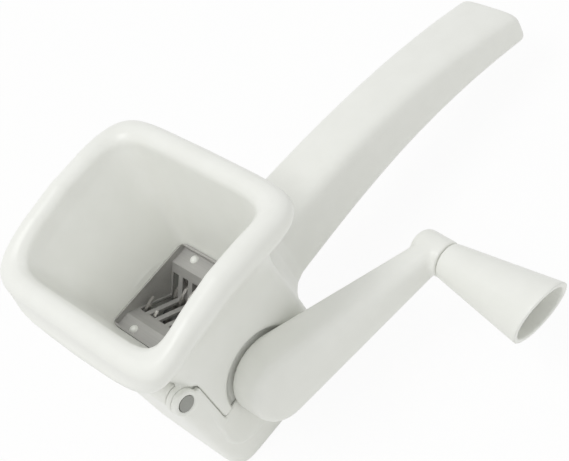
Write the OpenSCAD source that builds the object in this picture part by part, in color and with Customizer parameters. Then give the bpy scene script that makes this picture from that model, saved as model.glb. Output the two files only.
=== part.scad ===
// Hand cranked herb mill: a hopper and handle in one moulding, a slotted steel
// cutter plate, a rotor of claw blades, a swing-down lower shell and a crank.
// The crank axis lies along X, the handle points along +Y and the mouth faces +Z.

/* [Hopper] */
// Half width of the mouth along the crank axis, inside the lip
mouth_half_x = 34.4; // [32:0.1:37]
// Half depth of the mouth along the handle, inside the lip
mouth_half_y = 26.4; // [25:0.1:28]
// How far the mouth's centre lies behind the crank axis
mouth_y = 1.3; // [0:0.1:3]
// Diameter of the rolled lip round the mouth
lip_d = 8.7; // [7:0.1:9]
// Height of the lip's crest above the crank axis, before its arch
rim_h = 63.4; // [58:0.1:70]
// Drop of the lip at the middle of its front and back edges
rim_arch = 5; // [2:0.1:7]
// Extra drop at the front, and rise at the back
rim_tip = 2.4; // [0:0.1:4]
// Drop of the lip at its two sides
rim_side_drop = 1.6; // [0:0.1:4]
// Distance of the front's belly, below the lip, from the crank axis
belly_y = 36.2; // [33:0.1:37]
// Distance of the front's foot, above the hinge, from the crank axis
belly_foot_y = 22.5; // [22:0.1:24]
// How much the belly rounds back towards its corners
belly_crown = 3; // [0:0.1:5]
// Thickness of the hopper's moulded walls
body_wall = 2.2; // [1.8:0.1:3]
// Room between the end blades and the chamber's side walls
end_room = 3.2; // [2.6:0.1:4]
// Half depth of the throat that holds the cutter plate
throat_half_y = 17.8; // [17:0.1:19]
// Height of the throat's top above the crank axis
throat_h = 20.5; // [19.5:0.1:22]
// Distance of the body's back wall from the crank axis
back_y = 24.5; // [24:0.1:27]

/* [Handle] */
// Distance of the handle's end behind the crank axis
handle_end = 155.5; // [140:0.5:170]
// Height of the handle's top at the hopper, above the crank axis
handle_top = 22.6; // [21:0.1:23.5]
// How far the handle's top drops towards its end
handle_drop = 19.6; // [10:0.1:24]
// Depth of the handle at the hopper
handle_root_depth = 24.6; // [22:0.1:25]
// Depth of the handle at its end
handle_end_depth = 14; // [12:0.1:16]
// Half width of the handle at its waist
handle_waist = 11.1; // [9:0.1:12]
// Half width of the handle at its end
handle_end_half = 13; // [12:0.1:14]
// Wall of the handle's channel, which is open below
handle_wall = 2.6; // [2:0.1:3.2]

/* [Cutter] */
// Number of blades on the rotor
blade_count = 8; // [4:1:8]
// Distance from blade to blade
blade_pitch = 5; // [4.6:0.1:5.4]
// Radius of the blade tips
blade_r = 17; // [15:0.1:17]
// Thickness of a blade
blade_t = 1.2; // [0.8:0.1:1.4]
// Width of a claw at its middle
claw_w = 2.8; // [2:0.1:3.4]
// Radius of a blade's round middle
blade_hub_r = 6; // [5.5:0.1:6.5]
// Width of the slots in the cutter plate
slot_w = 2.9; // [2.6:0.1:3.2]
// Thickness of the cutter plate's sheet
plate_t = 0.8; // [0.6:0.1:1]
// Height of the lowest fold of the cutter plate above the crank axis
fold_h = 8.9; // [8.4:0.1:9.4]
// Distance of that fold behind the crank axis
fold_y = 3.4; // [2:0.1:4]
// Width of the plate's front ledge
front_ledge = 5.6; // [5:0.1:6.4]
// Width of the plate's back ledge
back_ledge = 6.8; // [6:0.1:7.4]
// Depth of the ledges below the throat's top
ledge_drop = 2; // [1.5:0.1:2.5]
// Radius of a rivet's head
rivet_r = 1.6; // [1.3:0.1:1.8]
// Length of a rivet's shank below the plate
rivet_depth = 3; // [2:0.1:3.5]
// Distance of the rivets from the chamber's side walls
rivet_in = 8; // [6:0.1:9]

/* [Shaft and bearings] */
// Radius of the rotor shaft
shaft_r = 3; // [2.8:0.1:3.4]
// Half distance across the shaft's flats
shaft_flat = 2.3; // [2:0.1:2.5]
// Outside radius of a bush
bush_r = 5; // [4.6:0.1:5.6]
// Radius of a bush's flange
bush_flange_r = 8; // [7:0.1:9]
// Thickness of a bush's flange
bush_flange_t = 1.1; // [0.8:0.1:1.4]
// Outside radius of the spacers between the blades
spacer_r = 4.6; // [4.2:0.1:5.2]
// Thickness of the thrust washer behind the crank
washer_t = 0.5; // [0.4:0.1:0.8]

/* [Lower shell] */
// Height of the crank axis above the base
axis_h = 25.4; // [25:0.1:28]
// Distance of the shell's front wall from the crank axis
shell_front = 26.4; // [26:0.1:28]
// Thickness of the shell's front, back and bottom walls
shell_wall = 2.4; // [1.8:0.1:2.6]
// Thickness of the shell's side walls at the hinge
shell_side_t = 2.4; // [2:0.1:3]
// How much each side wall leans in towards the base
shell_taper = 1; // [0:0.1:1.2]
// Distance of the shell's front posts' back edges from the crank axis
post_y = 19.3; // [18.5:0.1:20]
// Radius of the recess for the crank's hub, about its axis
recess_r = 22; // [21:0.1:22.5]
// Depth of the recess's lower edge below the crank axis
recess_drop = 15.8; // [15:0.1:18]
// Distance of the recess's front edge from the crank axis
recess_front = 22.6; // [22:0.1:23]
// Radius of the recess's lower front corner
recess_corner = 8; // [5:0.1:10]
// Depth of the shell's split line below the crank axis, at the back
split_drop = 3.2; // [2.5:0.1:5]
// Half width of the outlet in the base
outlet_half_x = 17.5; // [15:0.1:19]
// Half depth of the outlet in the base
outlet_half_y = 19; // [16:0.1:20]

/* [Hinge] */
// Distance of the hinge pin in front of the crank axis
pin_front = 25.4; // [25.2:0.1:26]
// Height of the hinge pin above the crank axis
pin_h = 18.9; // [18:0.1:19.5]
// Radius of the hinge pin
pin_r = 2.75; // [2:0.05:3]
// Radius of the shell's hinge barrel
barrel_r = 4.6; // [4.2:0.1:4.7]

/* [Crank] */
// Radius of the crank, from its axis to the knob's axis
crank_r = 59.2; // [55:0.1:66]
// Angle of the crank arm at rest, from straight back along the handle
crank_rest = 5.1; // [-8:0.1:8]
// Radius of the crank's hub
hub_r = 13.2; // [12:0.1:14]
// Thickness of the crank's hub along its axis
hub_t = 13; // [12:0.1:15]
// Radius of the hub's rounded outer edge
hub_round = 4; // [2:0.1:5]
// How far the knob's seat stands out from the hub's inner face
seat_out = 32.6; // [30:0.1:36]
// Length of the boss at the arm's end
boss_len = 12; // [10:0.1:13]
// Radius of the boss at the arm's end
boss_r = 6.2; // [6:0.1:7]
// How far the knob's axis leans down from the crank's axis, in degrees
knob_lean = 4.6; // [0:0.1:8]
// How far the knob's axis leans in towards the hub, in degrees
knob_cant = 2.7; // [0:0.1:6]

/* [Knob] */
// Length of the knob along its axis
knob_len = 36; // [30:0.1:40]
// Radius of the knob's open end, on its axis
knob_mouth_r = 11.5; // [11:0.1:14]
// Slant of the knob's open end, in degrees
mouth_slant = 16; // [0:1:18]
// Turn of the knob about its axis at rest, in degrees
knob_turn = -25; // [-180:5:180]
// Wall of the knob at its open end
knob_wall = 1.8; // [1.4:0.1:2.4]
// Length of the knob's bearing on its stud
knob_bearing = 12; // [9:0.1:14]
// Radius of the stud that carries the knob
stud_r = 3.6; // [3:0.1:4]

/* [Fits] */
// Radial running clearance of shafts and pins
run = 0.05; // [0.03:0.01:0.08]
// Gap between moulded faces that pass each other
gap = 0.3; // [0.2:0.05:0.4]
// Clearance of the cutter plate in its seat
plate_fit = 0.1; // [0.05:0.01:0.2]

/* [Hidden] */

// Colours
plastic = [0.95, 0.95, 0.93];
steel = [0.72, 0.72, 0.72];
grey = [0.62, 0.62, 0.61];

// Smoothness of round faces, of hulls and of lofted rings
$fn = 64;
hull_fn = 32;
ring_n = 48;

// Places along the crank axis
chamber_half_x = blade_pitch * (blade_count - 1) / 2 + end_room;
cheek_x = chamber_half_x + body_wall;
shell_in_x = cheek_x + gap;
shell_out_x = shell_in_x + shell_side_t;
flange_x = cheek_x + bush_flange_t;
hub_x = flange_x + run + washer_t + run;
arm_end_x = hub_x + seat_out;

// Places along the handle and up from the crank axis
rail = shell_front - outlet_half_y;
axis_y = shell_front - rail / 2;
base_z = -axis_h;
floor_z = base_z + shell_wall;
front_in_y = throat_half_y;
front_out_y = throat_half_y + body_wall + 0.4;
back_out_y = back_y;
split_z = -split_drop;
shell_back_y = back_y + 1;
ledge_z = throat_h - ledge_drop;
ledge_seat_z = ledge_z - plate_t - plate_fit / 2;
ledge_seat_t = rivet_depth + 1;
neck_z = throat_h + 1;
lip_r = lip_d / 2;
lip_z = rim_h - lip_r;
swing_r = norm([back_y + pin_front - shell_wall, split_z - pin_h]) - 1;
cheek_lap = 0.8;
cheek_r = recess_r + cheek_lap;

// Moves a piece modelled about the crank axis to its place above the base
module at_axis() translate([0, axis_y, axis_h]) children();

// Turns a shape drawn in the side view, Y across and Z up, into a plate from x0 to x1
module side_plate(x0, x1) translate([x0, 0, 0]) rotate([90, 0, 90]) linear_extrude(x1 - x0) children();

// A cylinder along X from x0 to x1
module rod(r, x0, x1) translate([x0, 0, 0]) rotate([0, 90, 0]) cylinder(r = r, h = x1 - x0);

// One point of a rounded square: half sizes hx and hy, squareness e, angle t
function squircle(hx, hy, e, t) =
    [hx * sign(cos(t)) * pow(abs(cos(t)), 2 / e), hy * sign(sin(t)) * pow(abs(sin(t)), 2 / e)];

// Faces that join the rings of a loft, with end caps or closed on itself
function band(i, j, n) = [for (k = [0:n - 1]) let (m = (k + 1) % n)
    each [[i * n + k, j * n + m, i * n + m], [i * n + k, j * n + k, j * n + m]]];
module loft(rings, closed = false) {
    n = len(rings[0]);
    last = len(rings) - 1;
    sides = [for (i = [0:closed ? last : last - 1]) each band(i, (i + 1) % (last + 1), n)];
    caps = closed ? [] : [[for (k = [0:n - 1]) k], [for (k = [n - 1:-1:0]) last * n + k]];
    polyhedron(points = [for (r = rings) each r], faces = concat(sides, caps), convexity = 6);
}

// Hopper

// Share of the rim's arch that a height z takes, from the neck up to the lip
function arch_share(z) = let (t = max(0, min(1, (z - neck_z - 8) / (lip_z - neck_z - 8)))) t * t * (3 - 2 * t);

// A level ring of the hopper, from its half width, front, back, squareness and front crown
function hopper_ring(z, hx, front, back, e, crown = 0) =
    let (hy = (back + front) / 2, yc = (back - front) / 2)
    [for (k = [0:ring_n - 1])
        let (p = squircle(hx, hy, e, 360 * k / ring_n),
             u = p[0] / hx, v = p[1] / hy,
             drop = rim_tip * v - rim_arch * v * v - rim_side_drop * u * u)
        [p[0], p[1] + yc + (v < 0 ? crown * u * u * v * v : 0), z + drop * arch_share(z)]];

// Outer wall: hollow flanks, a full belly in front and a slightly hollow back
lip_front = mouth_half_y - mouth_y + lip_d;
lip_back = mouth_half_y + mouth_y + lip_d;
flare_in = 1.2;
lip_square = 7.2;
belly_turn = 100;
function outer_ring(z) =
    let (t = max(0, (z - neck_z) / (lip_z - lip_r - neck_z)))
    hopper_ring(z,
        cheek_x + (mouth_half_x + lip_d - flare_in - cheek_x) * pow(t, 1.7),
        belly_foot_y + (belly_y - belly_foot_y) * sin(belly_turn * t),
        back_out_y + (lip_back - flare_in - back_out_y) * pow(t, 1.5),
        6 + 8 * pow(1 - t, 3),
        4 * belly_crown * t * max(0, 1 - t));

// Rolled lip: rings round a bead, by angle from straight out to straight in
function lip_ring(a) =
    let (out = lip_r * (1 + cos(a)))
    hopper_ring(lip_z + lip_r * sin(a), mouth_half_x + out, lip_front - lip_d + out, lip_back - lip_d + out, lip_square);

// Inner wall: a funnel from the lip down to the throat
function inner_ring(z) =
    let (t = max(0, (z - throat_h) / (lip_z - throat_h)))
    hopper_ring(z,
        chamber_half_x + plate_fit + (mouth_half_x - chamber_half_x - plate_fit) * pow(t, 0.94),
        throat_half_y + plate_fit + (lip_front - lip_d - throat_half_y - plate_fit) * pow(t, 0.94),
        throat_half_y + plate_fit + (lip_back - lip_d - throat_half_y - plate_fit) * pow(t, 0.94),
        6.5 + 8 * pow(1 - t, 3));

module hopper_shell() {
    foot = throat_h - 3;
    bury = body_wall / 3;
    flare = lip_z - lip_r - neck_z;
    loft(concat(
        [hopper_ring(foot, cheek_x - bury, front_out_y - bury, back_out_y - bury, 14)],
        [for (t = [0, 0.1, 0.25, 0.42, 0.6, 0.78, 0.93]) outer_ring(neck_z + t * flare)],
        [for (a = [-35:30:175]) lip_ring(a)],
        [for (t = [0.86, 0.62, 0.36, 0.14, 0]) inner_ring(throat_h + t * (lip_z - throat_h))],
        [hopper_ring(foot, chamber_half_x + bury, throat_half_y + bury, throat_half_y + bury, 14)]), closed = true);
}

// Frame under the hopper: cheeks with the bearings, front and back walls, plate ledges
module cheek_outline() {
    translate([-front_out_y, split_z]) square([front_out_y + back_out_y, throat_h - split_z]);
    intersection() {
        circle(r = cheek_r);
        translate([-pin_front, pin_h]) circle(r = swing_r);
    }
    recess_front_corner(cheek_lap);
    translate([-pin_front, pin_h]) circle(r = barrel_r - 0.4);
    translate([-pin_front, pin_h - barrel_r + 0.4]) square([pin_front - front_in_y, 2 * barrel_r - 0.8]);
}

module frame() {
    side_plate(chamber_half_x, cheek_x) cheek_outline();
    side_plate(-cheek_x, -chamber_half_x) cheek_outline();
    side_plate(-cheek_x, cheek_x) {
        translate([-front_out_y, 8]) square([front_out_y - front_in_y, throat_h - 8.3]);
        translate([back_out_y - body_wall, split_z]) square([body_wall, throat_h - 0.3 - split_z]);
        translate([throat_half_y, ledge_seat_z - ledge_seat_t])
            square([back_out_y - body_wall / 2 - throat_half_y, throat_h - 0.3 - ledge_seat_z + ledge_seat_t]);
        translate([-front_out_y + body_wall / 2, ledge_seat_z - ledge_seat_t])
            square([front_out_y - body_wall / 2 - throat_half_y + front_ledge - 1, ledge_seat_t]);
        translate([throat_half_y - back_ledge + 1, ledge_seat_z - ledge_seat_t])
            square([back_out_y - body_wall / 2 - throat_half_y + back_ledge - 1, ledge_seat_t]);
    }
}

// Handle

handle_root = back_out_y - 1.5;
handle_from = 40;
root_flare = 8.5;
root_flare_len = 13;
handle_e = 4.6;
function handle_along(y) = max(0, (y - handle_from) / (handle_end - handle_from));
function handle_z(y) = handle_top - handle_drop * pow(handle_along(y), 2.2);
function handle_depth(y) = handle_root_depth - (handle_root_depth - handle_end_depth) * pow(handle_along(y), 1.4);
waist_y = handle_from + 0.45 * (handle_end - handle_from);
function handle_half(y) =
    handle_waist
    + (y > waist_y ? (handle_end_half - handle_waist) * pow((y - waist_y) / (handle_end - waist_y), 1.5)
                   : 1.6 * pow((waist_y - y) / (waist_y - back_out_y), 2))
    + root_flare * pow(max(0, (back_out_y + root_flare_len - y) / root_flare_len), 2.6);

// A ring across the handle, drawn in by inset, with its lower edge dropped by open
function handle_ring(y, inset, open = 0) =
    let (top = handle_z(y) - inset, low = handle_z(y) - handle_depth(y) + inset - open)
    [for (k = [0:27])
        let (p = squircle(handle_half(y) - inset, (top - low) / 2, handle_e, 360 * k / 28))
        [-p[0], y, (top + low) / 2 + p[1]]];

module handle_bar() {
    span = handle_end - handle_root;
    loft(concat(
        [for (t = [0, 0.018, 0.036, 0.06, 0.09, 0.13]) handle_ring(handle_root + t * span, 0)],
        [for (t = [0.2:0.075:0.951]) handle_ring(handle_root + t * span, 0)],
        [handle_ring(handle_end - 2.2, 0), handle_ring(handle_end - 0.9, 0.35), handle_ring(handle_end, 1.4)]));
}

module handle_channel() {
    start = back_out_y + 2;
    span = handle_end - handle_wall - start;
    loft([for (t = [0, 0.04, 0.08, 0.14, 0.25, 0.37, 0.5, 0.62, 0.74, 0.86, 1])
        handle_ring(start + t * span, handle_wall, 14)]);
}

// Square seat for the cutter plate at the foot of the round-cornered funnel
module plate_seat() translate([-chamber_half_x, -throat_half_y, ledge_seat_z])
    cube([2 * chamber_half_x, 2 * throat_half_y, throat_h + plate_fit - ledge_seat_z]);

module hopper_body() color(plastic) at_axis() difference() {
    union() {
        hopper_shell();
        frame();
        handle_bar();
    }
    handle_channel();
    plate_seat();
    translate([0, -pin_front, pin_h]) {
        rod(barrel_r + gap, -chamber_half_x, chamber_half_x);
        rod(barrel_r + gap, -2 * cheek_x, -cheek_x);
        rod(barrel_r + gap, cheek_x, 2 * cheek_x);
    }
    rod(bush_r, -cheek_x - 1, cheek_x + 1);
    translate([0, -pin_front, pin_h]) rod(pin_r + run, -cheek_x - 1, cheek_x + 1);
    for (p = rivet_places) translate([p[0], p[1], ledge_seat_z - rivet_depth - 0.1])
        cylinder(r = rivet_shank_r, h = rivet_depth + 1);
}

// Cutter plate

plate_half_x = chamber_half_x - plate_fit;
plate_half_y = throat_half_y - plate_fit;
rivet_shank_r = rivet_r * 0.6;
rivet_places = [for (sx = [-1, 1], y = [-plate_half_y + front_ledge * 0.43, plate_half_y - back_ledge * 0.38])
    [sx * (chamber_half_x - rivet_in), y]];
blade_first_x = -blade_pitch * (blade_count - 1) / 2;
function blade_x(i) = blade_first_x + (i - 1) * blade_pitch;

// Folded section of the plate: wall, front ledge, two slopes, back ledge, wall
module plate_section() {
    outer = [[-plate_half_y, throat_h], [-plate_half_y, ledge_z - plate_t],
             [-plate_half_y + front_ledge, ledge_z - plate_t], [fold_y, fold_h - plate_t],
             [plate_half_y - back_ledge, ledge_z - plate_t], [plate_half_y, ledge_z - plate_t],
             [plate_half_y, throat_h]];
    inner = [[plate_half_y - plate_t, throat_h], [plate_half_y - plate_t, ledge_z],
             [plate_half_y - back_ledge - plate_t / 3, ledge_z], [fold_y, fold_h + plate_t / 3],
             [-plate_half_y + front_ledge + plate_t / 3, ledge_z], [-plate_half_y + plate_t, ledge_z],
             [-plate_half_y + plate_t, throat_h]];
    polygon(concat(outer, inner));
}

// End wall of the plate, down to the fold
module plate_end() polygon([
    [-plate_half_y, throat_h], [-plate_half_y, ledge_z - plate_t], [-plate_half_y + front_ledge, ledge_z - plate_t],
    [fold_y, fold_h - plate_t], [plate_half_y - back_ledge, ledge_z - plate_t], [plate_half_y, ledge_z - plate_t],
    [plate_half_y, throat_h]]);

// Slots reach a little past the blade tips on both slopes
slot_reach = blade_r + 1;
module cutter_plate() color(steel) at_axis() difference() {
    union() {
        side_plate(-plate_half_x, plate_half_x) plate_section();
        side_plate(-plate_half_x, -plate_half_x + plate_t) plate_end();
        side_plate(plate_half_x - plate_t, plate_half_x) plate_end();
    }
    for (i = [1:blade_count]) rod_slot(blade_x(i));
    for (p = rivet_places) translate([p[0], p[1], ledge_z - 2 * plate_t]) cylinder(r = rivet_shank_r + run, h = 3 * plate_t);
}
module rod_slot(x) rod(slot_reach, x - slot_w / 2, x + slot_w / 2);

module plate_rivets() color(plastic) at_axis()
    for (p = rivet_places) translate([p[0], p[1], 0]) {
        translate([0, 0, ledge_seat_z - rivet_depth]) cylinder(r = rivet_shank_r, h = ledge_z - ledge_seat_z + rivet_depth);
        translate([0, 0, ledge_z]) rotate_extrude() intersection() {
            translate([0, -rivet_r * 0.5]) circle(r = rivet_r * 1.12);
            square([rivet_r, rivet_r]);
        }
    }

// Shaft and bearings

// Round bar with two flats, grown by a clearance
module shaft_section(grow = 0) intersection() {
    circle(r = shaft_r + grow);
    square([2 * (shaft_flat + grow), 2 * (shaft_r + 1)], center = true);
}

module bush(side) color(grey) at_axis() difference() {
    union() {
        rod(bush_r, side > 0 ? chamber_half_x : -cheek_x, side > 0 ? cheek_x : -chamber_half_x);
        rod(bush_flange_r, side > 0 ? cheek_x : -flange_x, side > 0 ? flange_x : -cheek_x);
    }
    rod(shaft_r + run, -flange_x - 1, flange_x + 1);
}
module bush_crank_side() bush(1);
module bush_far_side() bush(-1);

clip_t = 0.6;
clip_x = -flange_x - run - clip_t;
clip_groove = 0.7;
shaft_far_x = clip_x - 1.2;
shaft_near_x = hub_x + hub_t - 2.5;

// Everything on the rotor turns with the crank's rest angle
module on_rotor() at_axis() rotate([crank_rest, 0, 0]) children();

module rotor_shaft() color(steel) on_rotor() difference() {
    union() {
        rod(shaft_r, shaft_far_x, -chamber_half_x + 0.4);
        side_plate(-chamber_half_x + 0.2, chamber_half_x - 0.2) shaft_section();
        rod(shaft_r, chamber_half_x - 0.4, hub_x - run);
        side_plate(hub_x - 2 * run, shaft_near_x) shaft_section();
    }
    difference() {
        rod(shaft_r + 1, clip_x - run, clip_x + clip_t + run);
        rod(shaft_r - clip_groove, clip_x - 1, clip_x + clip_t + 1);
    }
}

module end_clip() color(steel) on_rotor() side_plate(clip_x, clip_x + clip_t) difference() {
    circle(r = shaft_r + 1.8);
    circle(r = shaft_r - clip_groove + run);
    translate([0, -shaft_r + clip_groove * 2]) square([2 * shaft_r + 4, 2 * (shaft_r - clip_groove * 2)]);
}

module thrust_washer() color(grey) on_rotor() difference() {
    rod(bush_flange_r, flange_x + run, flange_x + run + washer_t);
    rod(shaft_r + run, flange_x, hub_x + 1);
}

// Rotor blades

claws = 4;
// A claw is what one circle leaves of another, from the middle out to the tip
module claw() difference() {
    translate([0, blade_r / 2]) circle(r = blade_r / 2);
    translate([claw_w, blade_r / 2 - 0.4]) circle(r = blade_r / 2);
}
module blade(i) color(steel) on_rotor() side_plate(blade_x(i) - blade_t / 2, blade_x(i) + blade_t / 2) difference() {
    union() {
        circle(r = blade_hub_r);
        for (c = [0:claws - 1]) rotate(360 * c / claws + 90 * i / blade_count) claw();
    }
    shaft_section(run);
}

// Spacers fill from bush to blade, blade to blade and blade to bush
function spacer_from(i) = i == 1 ? -chamber_half_x + 2 * run : blade_x(i - 1) + blade_t / 2;
function spacer_to(i) = i == blade_count + 1 ? chamber_half_x - 2 * run : blade_x(i) - blade_t / 2;
module spacer(i) color(grey) on_rotor() difference() {
    rod(spacer_r, spacer_from(i), spacer_to(i));
    rod(shaft_r + run, spacer_from(i) - 1, spacer_to(i) + 1);
}

// Lower shell

module rounded_plan(hx, front, back, r) {
    translate([-hx + r, -front]) square([2 * (hx - r), front + back]);
    translate([-hx, -front + r]) square([2 * hx, front + back - 2 * r]);
    for (sx = [-1, 1], y = [-front + r, back - r]) translate([sx * (hx - r), y]) circle(r = r);
}

// Outer form of the shell: a soft box whose front leans out to the hinge barrel
shell_square = 9.5;
shell_top_z = pin_h + barrel_r + 1;
shell_lean = pin_front + barrel_r - 0.3 - shell_front;
function shell_ring(z, inset) =
    let (t = (z - base_z) / (pin_h - base_z),
         hx = shell_out_x - shell_taper * (1 - t) - inset,
         front = shell_front + shell_lean * t - inset,
         back = shell_back_y - inset)
    [for (k = [0:ring_n - 1])
        let (p = squircle(hx, (front + back) / 2, shell_square, 360 * k / ring_n)) [p[0], p[1] + (back - front) / 2, z]];
module shell_block() loft([
    shell_ring(base_z, 1.6), shell_ring(base_z + 0.5, 0.6), shell_ring(base_z + 1.6, 0), shell_ring(shell_top_z, 0)]);

// Lower front corner of the recess, grown by a lap for the cheek behind it
module recess_front_corner(grow = 0)
    translate([recess_corner - recess_front, recess_corner - recess_drop]) circle(r = recess_corner + grow);

// Side view of the recess: round about the axis, cut level below, with a full front corner
module recess_outline() {
    intersection() {
        circle(r = recess_r);
        translate([-recess_r, -recess_drop]) square([2 * recess_r, recess_drop + recess_r]);
    }
    recess_front_corner();
}

// Side view of the shell: a front post up to the hinge, the round recess and the back wall
module shell_outline() {
    difference() {
        translate([-2 * shell_front, base_z - 1]) square([2 * shell_front + 2 * shell_back_y, axis_h + pin_h + 1]);
        recess_outline();
        translate([-post_y, 0]) square([4 * shell_back_y, axis_h + pin_h]);
        translate([0, split_z - gap]) square([4 * shell_back_y, axis_h + pin_h]);
    }
    translate([-pin_front, pin_h]) circle(r = barrel_r);
}

// Side view of the space inside the shell, behind the barrel and the front wall, with chamfered feet
foot_chamfer = [3.6, 8];
module shell_cavity() difference() {
    front = -shell_front + shell_wall;
    back = shell_back_y - shell_wall;
    polygon([[front, pin_h], [front, floor_z + foot_chamfer[1]], [front + foot_chamfer[0], floor_z],
             [back - foot_chamfer[0], floor_z], [back, floor_z + foot_chamfer[1]], [back, pin_h]]);
    translate([-pin_front, pin_h]) circle(r = barrel_r);
}

module lower_shell() color(plastic) at_axis() difference() {
    intersection() {
        shell_block();
        side_plate(-2 * shell_out_x, 2 * shell_out_x) shell_outline();
    }
    side_plate(-shell_in_x, shell_in_x) shell_cavity();
    translate([0, -pin_front, pin_h]) {
        rod(pin_r + run, -2 * shell_out_x, 2 * shell_out_x);
        rod(barrel_r + gap, -shell_in_x, -chamber_half_x + gap);
        rod(barrel_r + gap, chamber_half_x - gap, shell_in_x);
    }
    translate([0, 0, base_z - 1]) linear_extrude(shell_wall + 2)
        rounded_plan(outlet_half_x, outlet_half_y, outlet_half_y, 3);
}

module hinge_pin() color(grey) at_axis() translate([0, -pin_front, pin_h])
    rod(pin_r, -shell_out_x + gap, shell_out_x - gap);

// Crank and knob

// The knob's axis: X runs out along the stud from the seat at the arm's end
module on_knob_axis() translate([arm_end_x, crank_r, 0]) rotate([0, knob_lean, -knob_cant]) children();

// A turned form along X, from its points of radius and length
module turned(x, points) translate([x, 0, 0]) rotate([0, 90, 0]) rotate_extrude($fn = hull_fn) polygon(points);

// Hub with a rounded outer edge
module hub_form() turned(hub_x, concat(
    [[0, 0], [hub_r, 0]],
    [for (a = [0:22.5:90]) [hub_r - hub_round * (1 - cos(a)), hub_t - hub_round * (1 - sin(a))]],
    [[0, hub_t]]));

// Tip of the arm, inside the boss
tip_r = boss_r - 1;
tip_rise = 0.9;
tip_from = boss_len * 0.72;
tip_to = boss_len * 0.15;
module tip_form() turned(-tip_from, [
    [0, 0], [tip_r * 0.7, 0], [tip_r, tip_r * 0.3], [tip_r, tip_from - tip_to - 1], [tip_r - 1, tip_from - tip_to],
    [0, tip_from - tip_to]]);

// Boss that carries the knob's stud, rounded at its inner end
boss_round = 3;
module boss_form() translate([-boss_len, 0, 0]) rotate([0, 90, 0]) rotate_extrude() {
    square([boss_r - boss_round, boss_len]);
    translate([0, boss_round]) square([boss_r, boss_len - boss_round]);
    intersection() {
        translate([boss_r - boss_round, boss_round]) circle(r = boss_round);
        square([boss_r, boss_round]);
    }
}

stud_len = knob_bearing + gap + run;
stud_head_r = stud_r + 1;
stud_head_t = 2.4;
module crank_arm() color(plastic) on_rotor() difference() {
    union() {
        hull() {
            hub_form();
            on_knob_axis() translate([0, 0, tip_rise]) tip_form();
        }
        on_knob_axis() {
            boss_form();
            rod(stud_r, -1, stud_len + stud_head_t);
            translate([stud_len, 0, 0]) rotate([0, 90, 0])
                cylinder(r1 = stud_head_r, r2 = stud_r - 0.4, h = stud_head_t);
        }
    }
    side_plate(hub_x - 1, shaft_near_x + 0.1) shaft_section(0.02);
}

// Hollow cone with a slanted open end
knob_rise = (knob_mouth_r - boss_r) / knob_len;
mouth_reach = knob_len + 1.4 * knob_mouth_r * tan(mouth_slant);
function knob_r(x) = boss_r + knob_rise * x;
module knob() color(plastic) on_rotor() on_knob_axis() translate([gap, 0, 0]) rotate([knob_turn, 0, 0]) difference() {
    rotate([0, 90, 0]) rotate_extrude() polygon([
        [stud_r + run, 0], [boss_r - 0.6, 0], [boss_r, 0.6], [knob_r(mouth_reach), mouth_reach],
        [knob_r(mouth_reach) - knob_wall, mouth_reach], [knob_r(knob_bearing) - knob_wall, knob_bearing],
        [stud_r + run, knob_bearing]]);
    translate([knob_len, 0, 0]) rotate([0, mouth_slant, 0]) translate([0, -2 * knob_mouth_r, -2 * knob_mouth_r])
        cube([knob_len, 4 * knob_mouth_r, 4 * knob_mouth_r]);
}

hopper_body();
cutter_plate();
plate_rivets();
bush_crank_side();
bush_far_side();
hinge_pin();
lower_shell();
rotor_shaft();
for (i = [1:blade_count]) blade(i);
for (i = [1:blade_count + 1]) spacer(i);
end_clip();
thrust_washer();
crank_arm();
knob();
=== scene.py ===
import math

import bmesh
import bpy
from mathutils import Matrix, Vector


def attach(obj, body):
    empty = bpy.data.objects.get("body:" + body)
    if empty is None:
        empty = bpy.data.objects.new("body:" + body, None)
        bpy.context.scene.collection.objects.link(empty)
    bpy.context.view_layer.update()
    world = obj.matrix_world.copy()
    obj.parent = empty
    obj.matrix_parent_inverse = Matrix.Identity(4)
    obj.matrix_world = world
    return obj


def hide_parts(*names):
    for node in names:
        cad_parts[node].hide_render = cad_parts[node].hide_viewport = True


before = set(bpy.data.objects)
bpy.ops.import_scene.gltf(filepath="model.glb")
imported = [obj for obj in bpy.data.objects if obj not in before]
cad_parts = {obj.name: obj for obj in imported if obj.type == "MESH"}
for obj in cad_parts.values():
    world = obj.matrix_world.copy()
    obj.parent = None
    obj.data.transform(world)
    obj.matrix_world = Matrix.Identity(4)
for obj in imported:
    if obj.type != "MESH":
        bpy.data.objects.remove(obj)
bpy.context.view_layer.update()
print("frame loaded with", len(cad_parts), "nodes")


# Camera at the photograph's angle, from the solved view
cameraView = {
    "place": (0.292671, -0.050269, 0.354624),
    "right": (0.674170, 0.627296, -0.389864),
    "up": (-0.348301, 0.735504, 0.581138),
    "focalPixels": 1354.44,
    "imageWidth": 569,
    "sensorWidth": 36.0,
    "clipStart": 0.01,
    "clipEnd": 20,
}


def makeCamera():
    bpy.ops.object.camera_add(location=cameraView["place"])
    camera = bpy.context.object
    camera.name = "photoCamera"
    right = Vector(cameraView["right"]).normalized()
    up = Vector(cameraView["up"]).normalized()
    back = right.cross(up)
    camera.rotation_mode = "QUATERNION"
    camera.rotation_quaternion = Matrix((right, up, back)).transposed().to_quaternion()
    camera.data.sensor_width = cameraView["sensorWidth"]
    camera.data.lens = cameraView["focalPixels"] * cameraView["sensorWidth"] / cameraView["imageWidth"]
    camera.data.clip_start = cameraView["clipStart"]
    camera.data.clip_end = cameraView["clipEnd"]
    bpy.context.scene.camera = camera


makeCamera()
bpy.context.scene.view_settings.view_transform = "Standard"
print("camera made")


# Colours are written as sRGB hex and used as linear values
def hexColour(text):
    channels = []
    for i in (0, 2, 4):
        c = int(text[i:i + 2], 16) / 255
        channels.append(c / 12.92 if c <= 0.04045 else ((c + 0.055) / 1.055) ** 2.4)
    return (channels[0], channels[1], channels[2], 1.0)


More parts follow.
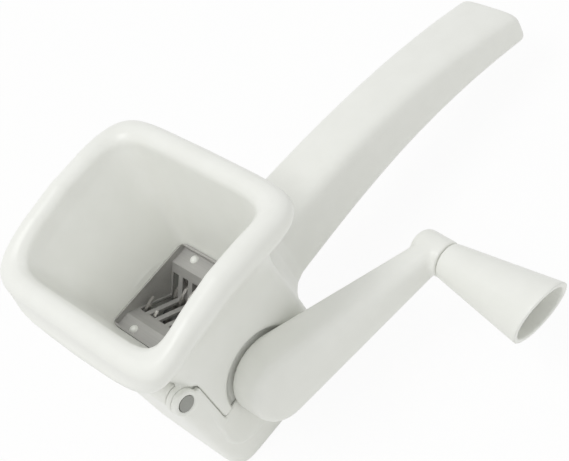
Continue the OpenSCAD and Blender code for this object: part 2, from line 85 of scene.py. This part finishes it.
# Adds one node with its settings, and links each named input to a given output
def addNode(tree, kind, settings=None, links=None):
    node = tree.nodes.new(kind)
    for name, value in (settings or {}).items():
        if hasattr(node, name):
            setattr(node, name, value)
        else:
            node.inputs[name].default_value = value
    for name, output in (links or {}).items():
        tree.links.new(output, node.inputs[name])
    return node


def newMaterial(name):
    material = bpy.data.materials.new(name)
    material.use_nodes = True
    tree = material.node_tree
    return material, tree, tree.nodes["Principled BSDF"]


# A Mix node repeats its socket names for each kind of data, so its colour sockets go by number
mixDark = 6
mixLight = 7
mixColour = 2

# Moulded polypropylene: satin white, a very fine spark-eroded skin and faint cloudiness in the colour
polypropylene = {
    "light": "f3f4ef",
    "dark": "ecede7",
    "cloudSize": 0.009,
    "cloudDetail": 3.0,
    "skinGrain": 0.0005,  # real skin is about 0.1 mm, drawn coarser so that it shows
    "skinDetail": 2.0,
    "skinStrength": 0.06,
    "skinDepth": 0.00005,
    "smoothest": 0.30,
    "dullest": 0.40,
    "ior": 1.49,
}


def makePolypropylene():
    plastic = polypropylene
    material, tree, shader = newMaterial("mouldedWhitePolypropylene")
    place = addNode(tree, "ShaderNodeTexCoord").outputs["Object"]
    clouds = addNode(tree, "ShaderNodeTexNoise",
                     {"Scale": 1 / plastic["cloudSize"], "Detail": plastic["cloudDetail"]}, {"Vector": place})
    tint = addNode(tree, "ShaderNodeMix", {"data_type": "RGBA"}, {"Factor": clouds.outputs["Fac"]})
    tint.inputs[mixDark].default_value = hexColour(plastic["dark"])
    tint.inputs[mixLight].default_value = hexColour(plastic["light"])
    tree.links.new(tint.outputs[mixColour], shader.inputs["Base Color"])
    sheen = addNode(tree, "ShaderNodeMapRange",
                    {"To Min": plastic["smoothest"], "To Max": plastic["dullest"]},
                    {"Value": clouds.outputs["Fac"]})
    tree.links.new(sheen.outputs["Result"], shader.inputs["Roughness"])
    skin = addNode(tree, "ShaderNodeTexNoise",
                   {"Scale": 1 / plastic["skinGrain"], "Detail": plastic["skinDetail"]}, {"Vector": place})
    bump = addNode(tree, "ShaderNodeBump",
                   {"Strength": plastic["skinStrength"], "Distance": plastic["skinDepth"]},
                   {"Height": skin.outputs["Fac"]})
    tree.links.new(bump.outputs["Normal"], shader.inputs["Normal"])
    shader.inputs["IOR"].default_value = plastic["ior"]
    return material


# Cold-rolled stainless sheet of the cutter tray: dull grey, with fine streaks along the rolling direction
rolledSheet = {
    "light": "c0bfbc",
    "dark": "a8a7a4",
    "streakLength": 0.014,
    "streakWidth": 0.0004,  # real rolling marks are finer, drawn this wide so that they show
    "smoothest": 0.46,
    "dullest": 0.62,
    "metallic": 0.55,  # the dull rolled skin scatters much of the light
}

# Ground steel of the blades, shaft and clip: brighter and smoother than the sheet, with shorter marks
groundBlade = {
    "light": "d2d0cc",
    "dark": "aeaba7",
    "streakLength": 0.006,
    "streakWidth": 0.0003,
    "smoothest": 0.22,
    "dullest": 0.36,
    "metallic": 1.0,
}

# Turned steel of the hinge pin: dull grey with short fine marks
turnedPin = {
    "light": "aaaba6",
    "dark": "8f908b",
    "streakLength": 0.003,
    "streakWidth": 0.0003,
    "smoothest": 0.42,
    "dullest": 0.58,
    "metallic": 1.0,
}

# All three steels have marks of one depth
steelMarks = {"detail": 3.0, "strength": 0.12, "depth": 0.00003}


def makeSteel(name, steel):
    material, tree, shader = newMaterial(name)
    place = addNode(tree, "ShaderNodeTexCoord").outputs["Object"]
    along = 1 / steel["streakLength"]
    across = 1 / steel["streakWidth"]
    stretch = addNode(tree, "ShaderNodeMapping", {"vector_type": "POINT", "Scale": (along, across, across)},
                      {"Vector": place})
    streaks = addNode(tree, "ShaderNodeTexNoise", {"Scale": 1.0, "Detail": steelMarks["detail"]},
                      {"Vector": stretch.outputs["Vector"]})
    tint = addNode(tree, "ShaderNodeMix", {"data_type": "RGBA"}, {"Factor": streaks.outputs["Fac"]})
    tint.inputs[mixDark].default_value = hexColour(steel["dark"])
    tint.inputs[mixLight].default_value = hexColour(steel["light"])
    tree.links.new(tint.outputs[mixColour], shader.inputs["Base Color"])
    sheen = addNode(tree, "ShaderNodeMapRange", {"To Min": steel["smoothest"], "To Max": steel["dullest"]},
                    {"Value": streaks.outputs["Fac"]})
    tree.links.new(sheen.outputs["Result"], shader.inputs["Roughness"])
    bump = addNode(tree, "ShaderNodeBump",
                   {"Strength": steelMarks["strength"], "Distance": steelMarks["depth"]},
                   {"Height": streaks.outputs["Fac"]})
    tree.links.new(bump.outputs["Normal"], shader.inputs["Normal"])
    shader.inputs["Metallic"].default_value = steel["metallic"]
    return material


# Grey acetal of the bushes, spacers and washer: dull, slightly waxy, with faint flow marks
acetal = {
    "light": "9c9c99",
    "dark": "8a8a87",
    "flowSize": 0.004,
    "flowDetail": 2.0,
    "flowTwist": 0.6,
    "flowStrength": 0.08,
    "flowDepth": 0.00005,
    "roughness": 0.46,
    "ior": 1.48,
}


def makeAcetal():
    material, tree, shader = newMaterial("mouldedGreyAcetal")
    place = addNode(tree, "ShaderNodeTexCoord").outputs["Object"]
    marks = {"Scale": 1 / acetal["flowSize"], "Detail": acetal["flowDetail"]}
    marks["Distortion"] = acetal["flowTwist"]
    flow = addNode(tree, "ShaderNodeTexNoise", marks, {"Vector": place})
    tint = addNode(tree, "ShaderNodeMix", {"data_type": "RGBA"}, {"Factor": flow.outputs["Fac"]})
    tint.inputs[mixDark].default_value = hexColour(acetal["dark"])
    tint.inputs[mixLight].default_value = hexColour(acetal["light"])
    tree.links.new(tint.outputs[mixColour], shader.inputs["Base Color"])
    bump = addNode(tree, "ShaderNodeBump",
                   {"Strength": acetal["flowStrength"], "Distance": acetal["flowDepth"]},
                   {"Height": flow.outputs["Fac"]})
    tree.links.new(bump.outputs["Normal"], shader.inputs["Normal"])
    shader.inputs["Roughness"].default_value = acetal["roughness"]
    shader.inputs["IOR"].default_value = acetal["ior"]
    return material


whitePlastic = makePolypropylene()
sheetSteel = makeSteel("rolledStainlessSheet", rolledSheet)
bladeSteel = makeSteel("groundBladeSteel", groundBlade)
pinSteel = makeSteel("turnedPinSteel", turnedPin)
greyPlastic = makeAcetal()
print("materials made")


def selectOnly(piece):
    bpy.ops.object.select_all(action="DESELECT")
    piece.select_set(True)
    bpy.context.view_layer.objects.active = piece


# Corners of the loose triangles that lie closer than this, in metres, are one corner
cornerGap = 0.000005


# A copy of a CAD node's mesh with its loose triangles joined at their corners
def joinedCopy(nodeName, pieceName):
    piece = bpy.data.objects.new(pieceName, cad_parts[nodeName].data.copy())
    bpy.context.scene.collection.objects.link(piece)
    selectOnly(piece)
    bpy.ops.object.mode_set(mode="EDIT")
    bpy.ops.mesh.select_all(action="SELECT")
    bpy.ops.mesh.remove_doubles(threshold=cornerGap)
    bpy.ops.object.mode_set(mode="OBJECT")
    piece.data.materials.clear()
    return piece


# Each smoothing pass moves a point by this share of the way to its neighbours' middle
smoothingShare = 0.5


# Softens a moulded piece's edges: fine remesh, smoothing, then thinning of the faces
def softenMoulding(piece, spec):
    selectOnly(piece)
    remesh = piece.modifiers.new("remesh", "REMESH")
    remesh.mode = "VOXEL"
    remesh.voxel_size = spec["voxel"]
    remesh.use_smooth_shade = True
    bpy.ops.object.modifier_apply(modifier=remesh.name)
    smooth = piece.modifiers.new("smooth", "SMOOTH")
    smooth.factor = smoothingShare
    smooth.iterations = spec["smoothing"]
    bpy.ops.object.modifier_apply(modifier=smooth.name)
    if spec["keep"] < 1:
        thin = piece.modifiers.new("thin", "DECIMATE")
        thin.ratio = spec["keep"]
        bpy.ops.object.modifier_apply(modifier=thin.name)
    bpy.ops.object.shade_smooth()


# The piece gets its material, moves with its body and stands for its CAD node
def finishPiece(piece, spec, material):
    piece.data.materials.append(material)
    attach(piece, spec["body"])
    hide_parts(spec["node"])
    print(piece.name, "has", len(piece.data.polygons), "faces")


# Added forms are drawn in millimetres from the crank axis, which stands here in the frame
axisPlace = (0.0, 22.7, 25.4)
roundPoints = 96  # corners of a round bar


def atAxis(point):
    return tuple((p + a) / 1000 for p, a in zip(point, axisPlace))


# Joins rings of points into one closed skin, capped at both ends or run round on itself
def loftRings(name, rings, closed):
    mesh = bpy.data.meshes.new(name)
    skin = bmesh.new()
    rows = [[skin.verts.new(atAxis(point)) for point in ring] for ring in rings]
    count = len(rows[0])
    pairs = list(zip(rows, rows[1:] + rows[:1])) if closed else list(zip(rows, rows[1:]))
    for low, high in pairs:
        for k in range(count):
            skin.faces.new((low[k], low[(k + 1) % count], high[(k + 1) % count], high[k]))
    if not closed:
        skin.faces.new(rows[0])
        skin.faces.new(rows[-1])
    bmesh.ops.recalc_face_normals(skin, faces=skin.faces)
    skin.to_mesh(mesh)
    skin.free()
    piece = bpy.data.objects.new(name, mesh)
    bpy.context.scene.collection.objects.link(piece)
    return piece


# A slab between two places along the crank axis, with its outline in the side view
def sideSlab(name, outline, xFrom, xTo):
    return loftRings(name, [[(x, y, z) for y, z in outline] for x in (xFrom, xTo)], False)


# A round bar or cone along the crank axis
def sideRound(name, centre, xFrom, rFrom, xTo, rTo):
    rings = []
    turns = [math.tau * k / roundPoints for k in range(roundPoints)]
    for x, r in ((xFrom, rFrom), (xTo, rTo)):
        rings.append([(x, centre[0] + r * math.cos(turn), centre[1] + r * math.sin(turn)) for turn in turns])
    return loftRings(name, rings, False)


# Takes one shape from a piece, or keeps what they share, and removes the tool
def cutPiece(piece, tool, operation):
    selectOnly(piece)
    cut = piece.modifiers.new("cut", "BOOLEAN")
    cut.operation = operation
    cut.solver = "EXACT"
    cut.object = tool
    bpy.ops.object.modifier_apply(modifier=cut.name)
    bpy.data.objects.remove(tool)


def joinPieces(piece, others):
    selectOnly(piece)
    for other in others:
        other.select_set(True)
    bpy.ops.object.join()


# Hopper wall: one skin that runs from the neck over the rolled lip and down the funnel, in millimetres
hopperWall = {
    "mouthX": 34.4, "mouthFront": 25.1, "mouthBack": 27.7, "lip": 8.7, "lipHeight": 58.95,
    "neckHeight": 21.5, "sideX": 25.3, "frontFoot": 22.5, "backFoot": 24.5,
    "throatHeight": 20.5, "throatX": 20.8, "throatY": 17.9,
    "footDrop": 3, "footTuck": 0.7, "footFront": 18.3, "footSquareness": 14,
    "rimFrom": 8, "rimTip": 2.4, "rimArch": 5.0, "rimSideDrop": 1.6,
    "bellyOut": 4.7, "bellyCrown": 2.0, "bellyRise": 3, "bellyFall": 2,
    "flankHollow": 1.5, "backHollow": 1.4, "bellyHollow": 0.85,
    "funnelHollowX": 1.15, "funnelHollowY": 0.94, "innerProud": 0.4,
    "lipSquareness": 7.2, "neckSquarer": 6.8, "funnelSquareness": 6.5, "throatSquarer": 8, "squareFade": 3,
    "points": 128, "outerSteps": 24, "lipDegrees": 10, "innerSteps": 12,
}


# Goes from 0 to 1 with a soft start and end
def easeShare(t):
    t = max(0.0, min(1.0, t))
    return t * t * (3 - 2 * t)


# A place on a rounded square, from the sine or cosine of its turn
def squarePoint(half, wave, squareness):
    share = abs(wave) ** (2 / squareness)
    return half * math.copysign(share, wave)


# One ring of the hopper: level at the neck, and towards the lip it dips at the sides and most at the front
def hopperRing(z, halfX, front, back, squareness, crown=0.0):
    wall = hopperWall
    rimRise = wall["lipHeight"] - wall["neckHeight"] - wall["rimFrom"]
    rise = easeShare((z - wall["neckHeight"] - wall["rimFrom"]) / rimRise)
    halfY = (front + back) / 2
    ring = []
    for k in range(wall["points"]):
        turn = math.tau * k / wall["points"]
        x = squarePoint(halfX, math.cos(turn), squareness)
        y = squarePoint(halfY, math.sin(turn), squareness)
        u = x / halfX
        v = y / halfY
        drop = wall["rimTip"] * v - wall["rimArch"] * v * v - wall["rimSideDrop"] * u * u
        tuck = crown * u * u * v * v if v < 0 else 0.0
        ring.append((x, y + (back - front) / 2 + tuck, z + drop * rise))
    return ring


def outerRing(t):
    wall = hopperWall
    peak = wall["bellyRise"] / (wall["bellyRise"] + wall["bellyFall"])  # where the belly is fullest
    belly = (t / peak) ** wall["bellyRise"] * ((1 - t) / (1 - peak)) ** wall["bellyFall"]
    front = wall["mouthFront"] + wall["lip"]
    back = wall["mouthBack"] + wall["lip"]
    return hopperRing(
        wall["neckHeight"] + t * (wall["lipHeight"] - wall["neckHeight"]),
        wall["sideX"] + (wall["mouthX"] + wall["lip"] - wall["sideX"]) * easeShare(t ** wall["flankHollow"]),
        wall["frontFoot"] + (front - wall["frontFoot"]) * easeShare(t ** wall["bellyHollow"])
        + wall["bellyOut"] * belly,
        wall["backFoot"] + (back - wall["backFoot"]) * easeShare(t ** wall["backHollow"]),
        wall["lipSquareness"] + wall["neckSquarer"] * (1 - t) ** wall["squareFade"],
        wall["bellyCrown"] * belly)


def lipRing(degrees):
    wall = hopperWall
    out = wall["lip"] / 2 * (1 + math.cos(math.radians(degrees)))
    z = wall["lipHeight"] + wall["lip"] / 2 * math.sin(math.radians(degrees))
    return hopperRing(z, wall["mouthX"] + out, wall["mouthFront"] + out, wall["mouthBack"] + out,
                      wall["lipSquareness"])


def innerRing(t):
    wall = hopperWall
    proud = wall["innerProud"] * (1 - t)  # covers the thin places of the solid's own funnel face
    return hopperRing(
        wall["throatHeight"] + t * (wall["lipHeight"] - wall["throatHeight"]),
        wall["throatX"] - proud + (wall["mouthX"] - wall["throatX"]) * t ** wall["funnelHollowX"],
        wall["throatY"] + (wall["mouthFront"] - wall["throatY"]) * t ** wall["funnelHollowY"],
        wall["throatY"] + (wall["mouthBack"] - wall["throatY"]) * t ** wall["funnelHollowY"],
        wall["funnelSquareness"] + wall["throatSquarer"] * (1 - t) ** wall["squareFade"])


# Side fairing, in millimetres: brings the body's side out to the shell's post, and leaves room for the hinge
# barrel and the hub
bodySide = {
    "inX": 21.8, "outX": 25.3, "cheekX": 22.9, "cheekGap": 0.05, "neckSpan": (-10, 30),
    "outline": ((-19.16, 0.3), (0.3, 0.3), (0.3, -3.2), (22.3, -3.2), (24.5, -1.0), (24.5, 22.0),
                (-19.16, 22.0)),
    "postFront": -60, "postBack": -19.16, "postFoot": -30, "postTop": 19.2, "postReach": 101.2,
    "dishFloor": 13.8, "dishRim": 16.0, "dishPast": 3,
    "hingePlace": (-25.4, 18.9), "barrelRoom": 4.9, "barrelReach": 60,
    "lugSpan": (20.55, 23.05), "lugRound": 4.75, "lugBore": 3.6, "lugBoreSpan": (20, 24),
}


# A round about the hinge with a hole through it for the pin, on one side of the body
def hingeSleeve(name, hand, span, rounds, boreSpan, bore):
    place = bodySide["hingePlace"]
    sleeve = sideRound(name, place, hand * span[0], rounds[0], hand * span[1], rounds[1])
    hole = sideRound("bore", place, hand * boreSpan[0], bore, hand * boreSpan[1], bore)
    cutPiece(sleeve, hole, "DIFFERENCE")
    return sleeve


def makeHopperForms():
    wall = hopperWall
    side = bodySide
    foot = wall["throatHeight"] - wall["footDrop"]
    tuck = wall["footTuck"]
    square = wall["footSquareness"]
    rings = [hopperRing(foot, wall["sideX"] - tuck, wall["footFront"], wall["backFoot"] - tuck, square)]
    rings += [outerRing(k / wall["outerSteps"]) for k in range(wall["outerSteps"] + 1)]
    rings += [lipRing(degrees) for degrees in range(wall["lipDegrees"], 180, wall["lipDegrees"])]
    rings += [innerRing(k / wall["innerSteps"]) for k in range(wall["innerSteps"] - 1, -1, -1)]
    throatY = wall["throatY"] + tuck
    rings += [hopperRing(foot, wall["throatX"] + tuck, throatY, throatY, square)]
    forms = loftRings("hopperForms", rings, True)
    plan = hopperRing(wall["neckHeight"], wall["sideX"], wall["frontFoot"], wall["backFoot"], square)
    fairings = []
    for hand in (1, -1):
        fairing = sideSlab("fairing", side["outline"], hand * side["inX"], hand * side["outX"])
        neck = loftRings("neck", [[(x, y, z) for x, y, height in plan] for z in side["neckSpan"]], False)
        cutPiece(fairing, neck, "INTERSECT")
        fairings.append(fairing)
    post = ((side["postFront"], side["postFoot"]), (side["postBack"], side["postFoot"]),
            (side["postBack"], side["postTop"]), (side["postFront"], side["postTop"]))
    postFrom = side["cheekX"] + side["cheekGap"]
    dishTo = side["outX"] + side["dishPast"]
    widen = (side["dishRim"] - side["dishFloor"]) / (side["outX"] - side["cheekX"])
    dishEnd = side["dishFloor"] + widen * (dishTo - side["cheekX"])
    for hand in (1, -1):
        for piece in [forms] + fairings:
            postRoom = sideSlab("postRoom", post, hand * postFrom, hand * side["postReach"])
            cutPiece(piece, postRoom, "DIFFERENCE")
            dish = sideRound("dish", (0, 0), hand * side["cheekX"], side["dishFloor"], hand * dishTo, dishEnd)
            cutPiece(piece, dish, "DIFFERENCE")
    reach = side["barrelReach"]
    barrel = sideRound("barrel", side["hingePlace"], -reach, side["barrelRoom"], reach, side["barrelRoom"])
    cutPiece(forms, barrel, "DIFFERENCE")
    for hand in (1, -1):
        fairings.append(hingeSleeve("lug", hand, side["lugSpan"], (side["lugRound"], side["lugRound"]),
                                    side["lugBoreSpan"], side["lugBore"]))
    return [forms] + fairings


# Dish in each side of the lower shell, in millimetres: wider outside than inside, with the post's face beside
# it and the knuckle that closes round the pin
shellDish = {
    "inX": 23.2, "outX": 25.5, "floorLip": 0.5, "round": 22.0, "drop": 15.8, "lap": 1.03, "seamDrop": 3.45,
    "cornerPlace": (-14.6, -7.8), "cornerRound": 8.0, "innerShare": 0.5, "innerLeast": 8.9,
    "fromDegrees": 180, "toDegrees": 348, "stepDegrees": 3, "leastFall": 0.001,
    "post": ((-19.3, 0.0), (-19.3, 10.9), (-20.6, 8.4), (-21.6, 5.0), (-22.6, 0.0), (-22.6, -1.0),
             (-19.3, -1.0)),
    "knuckleRound": 4.7, "knuckleTip": 4.3, "knuckleBore": 2.9, "knuckleBoreSpan": (22.2, 26.5),
}


# How far the dish's rim stands from the crank axis in a direction
def dishReach(degrees):
    dish = shellDish
    y = math.cos(math.radians(degrees))
    z = math.sin(math.radians(degrees))
    reach = min(dish["round"], dish["drop"] / max(dish["leastFall"], -z))
    along = y * dish["cornerPlace"][0] + z * dish["cornerPlace"][1]
    away = dish["cornerPlace"][0] ** 2 + dish["cornerPlace"][1] ** 2 - along * along
    if along > 0 and away < dish["cornerRound"] ** 2:
        reach = max(reach, along + math.sqrt(dish["cornerRound"] ** 2 - away))
    return reach


def makeShellForms():
    dish = shellDish
    forms = []
    for hand in (1, -1):
        rings = []
        for degrees in range(dish["fromDegrees"], dish["toDegrees"] + 1, dish["stepDegrees"]):
            reach = dishReach(degrees)
            y = math.cos(math.radians(degrees))
            z = math.sin(math.radians(degrees))
            inner = max(dish["innerLeast"], dish["innerShare"] * reach)
            if y > 0:
                # Stays below the body's back seam
                inner = max(inner, dish["seamDrop"] / max(dish["leastFall"], -z))
            rings.append([(hand * x, y * r, z * r) for x, r in (
                (dish["inX"], inner), (dish["inX"] + dish["floorLip"], inner), (dish["outX"], reach),
                (dish["outX"], dish["lap"] * reach), (dish["inX"], dish["lap"] * reach))])
        forms.append(loftRings("dish", rings, False))
        forms.append(sideSlab("post", dish["post"], hand * dish["inX"], hand * dish["outX"]))
        forms.append(hingeSleeve("knuckle", hand, (dish["inX"], dish["outX"]),
                                 (dish["knuckleRound"], dish["knuckleTip"]),
                                 dish["knuckleBoreSpan"], dish["knuckleBore"]))
    return forms


# White mouldings: voxel in metres, number of smoothing passes and the share of faces that is kept
hopperMoulding = {"node": "hopper_body", "body": "body", "slot": "white_plastic", "voxel": 0.0005,
                  "smoothing": 7, "keep": 0.3}
shellMoulding = {"node": "lower_shell", "body": "shell", "slot": "white_plastic", "voxel": 0.0004,
                 "smoothing": 5, "keep": 0.6}
crankMoulding = {"node": "crank_arm", "body": "rotor", "slot": "white_plastic", "voxel": 0.0005,
                 "smoothing": 8, "keep": 1}
knobMoulding = {"node": "knob", "body": "knob", "slot": "white_plastic", "voxel": 0.0004,
                "smoothing": 4, "keep": 1}

for pieceName, spec, makeForms in (("hopperAndHandle", hopperMoulding, makeHopperForms),
                                   ("lowerShell", shellMoulding, makeShellForms),
                                   ("crankArm", crankMoulding, None), ("crankKnob", knobMoulding, None)):
    moulding = joinedCopy(spec["node"], pieceName)
    if makeForms:
        joinPieces(moulding, makeForms())
    softenMoulding(moulding, spec)
    finishPiece(moulding, spec, whitePlastic)


# Steel and acetal nodes and the plate's pegs keep their CAD shapes
def dressNode(nodeName, material):
    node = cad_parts[nodeName]
    node.data.materials.clear()
    node.data.materials.append(material)


dressNode("cutter_plate", sheetSteel)
dressNode("plate_rivets", whitePlastic)
dressNode("hinge_pin", pinSteel)
for nodeName in ("rotor_shaft", "end_clip"):
    dressNode(nodeName, bladeSteel)
for nodeName in ("bush_crank_side", "bush_far_side", "thrust_washer"):
    dressNode(nodeName, greyPlastic)
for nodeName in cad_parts:
    if nodeName.startswith("blade_"):
        dressNode(nodeName, bladeSteel)
    if nodeName.startswith("spacer_"):
        dressNode(nodeName, greyPlastic)
print("CAD nodes dressed")


# Floor: pale, near white to the camera, and it keeps a soft shadow
studio = {
    "floorSize": 6.0,
    "floorDrop": 0.0002,
    "floorColour": "f4f4f2",
    "floorRoughness": 0.9,
    "floorGlow": 0.93,
    "worldStrength": 0.68,
}


# One where the camera, a reflection or a clear body looks at a surface, for the white background
def seenDirectly(tree):
    path = addNode(tree, "ShaderNodeLightPath")
    seen = addNode(tree, "ShaderNodeMath", {"operation": "MAXIMUM"})
    tree.links.new(path.outputs["Is Camera Ray"], seen.inputs[0])
    tree.links.new(path.outputs["Is Glossy Ray"], seen.inputs[1])
    clear = addNode(tree, "ShaderNodeMath", {"operation": "MAXIMUM"})
    tree.links.new(seen.outputs[0], clear.inputs[0])
    tree.links.new(path.outputs["Is Transmission Ray"], clear.inputs[1])
    return clear.outputs[0]


def makeFloor():
    bpy.ops.object.select_all(action="DESELECT")
    bpy.ops.mesh.primitive_plane_add(size=studio["floorSize"], location=(0, 0, -studio["floorDrop"]))
    floor = bpy.context.object
    floor.name = "paleFloor"
    material, tree, shader = newMaterial("paleStudioFloor")
    shader.inputs["Base Color"].default_value = hexColour(studio["floorColour"])
    shader.inputs["Roughness"].default_value = studio["floorRoughness"]
    shader.inputs["Specular IOR Level"].default_value = 0.0
    share = addNode(tree, "ShaderNodeMath", {"operation": "MULTIPLY"})
    tree.links.new(seenDirectly(tree), share.inputs[0])
    share.inputs[1].default_value = studio["floorGlow"]
    glow = addNode(tree, "ShaderNodeEmission", {"Color": (1, 1, 1, 1), "Strength": 1.0})
    mix = addNode(tree, "ShaderNodeMixShader")
    tree.links.new(share.outputs[0], mix.inputs[0])
    tree.links.new(shader.outputs[0], mix.inputs[1])
    tree.links.new(glow.outputs[0], mix.inputs[2])
    tree.links.new(mix.outputs[0], tree.nodes["Material Output"].inputs["Surface"])
    floor.data.materials.append(material)


def makeWorld():
    world = bpy.data.worlds.new("paleStudio")
    bpy.context.scene.world = world
    world.use_nodes = True
    tree = world.node_tree
    soft = tree.nodes["Background"]
    soft.inputs["Color"].default_value = (1, 1, 1, 1)
    soft.inputs["Strength"].default_value = studio["worldStrength"]
    clear = addNode(tree, "ShaderNodeBackground", {"Color": (1, 1, 1, 1), "Strength": 1.0})
    mix = addNode(tree, "ShaderNodeMixShader")
    tree.links.new(seenDirectly(tree), mix.inputs[0])
    tree.links.new(soft.outputs[0], mix.inputs[1])
    tree.links.new(clear.outputs[0], mix.inputs[2])
    tree.links.new(mix.outputs[0], tree.nodes["World Output"].inputs["Surface"])


# Lamps: a broad key from above and slightly in front, and a weak fill from the crank side
keyLamp = {"from": (-0.12, -0.35, 0.93), "distance": 1.2, "size": 0.6, "power": 4.2}
sideLamp = {"from": (0.9, -0.3, 0.6), "distance": 1.3, "size": 0.8, "power": 0.5}
lampTarget = (0, 0.08, 0.04)


def makeLamp(name, lamp):
    direction = Vector(lamp["from"]).normalized()
    place = Vector(lampTarget) + direction * lamp["distance"]
    bpy.ops.object.light_add(type="AREA", location=place)
    light = bpy.context.object
    light.name = name
    light.data.shape = "DISK"
    light.data.size = lamp["size"]
    light.data.energy = lamp["power"]
    light.rotation_mode = "QUATERNION"
    light.rotation_quaternion = direction.to_track_quat("Z", "Y")


makeFloor()
makeWorld()
makeLamp("keyLamp", keyLamp)
makeLamp("sideLamp", sideLamp)
print("studio made")
